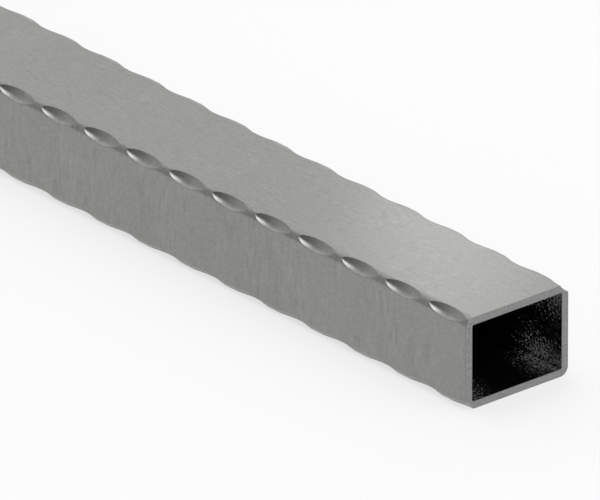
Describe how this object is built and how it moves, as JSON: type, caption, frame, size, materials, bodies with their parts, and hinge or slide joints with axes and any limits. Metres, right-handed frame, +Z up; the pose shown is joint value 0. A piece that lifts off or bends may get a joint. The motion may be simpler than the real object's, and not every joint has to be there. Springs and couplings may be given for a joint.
{
  "type": "hammered-edge rectangular steel tube",
  "caption": "Straight rectangular steel tube, open at both ends, with staggered hammer marks along its rounded edges.",
  "frame": {"origin": "middle of the underside, half way along the length", "axes": "+X along the length towards the end that shows in the picture, +Y across the wide side, +Z up"},
  "size_m": [1, 0.04, 0.03],
  "materials": {
    "bare_steel": "bare mill finish, grey and slightly warm, fine streaks and faint blotches outside, near-black scale inside"
  },
  "bodies": {
    "root": {"rectangular_tube": "bare_steel"}
  },
  "joints": []
}
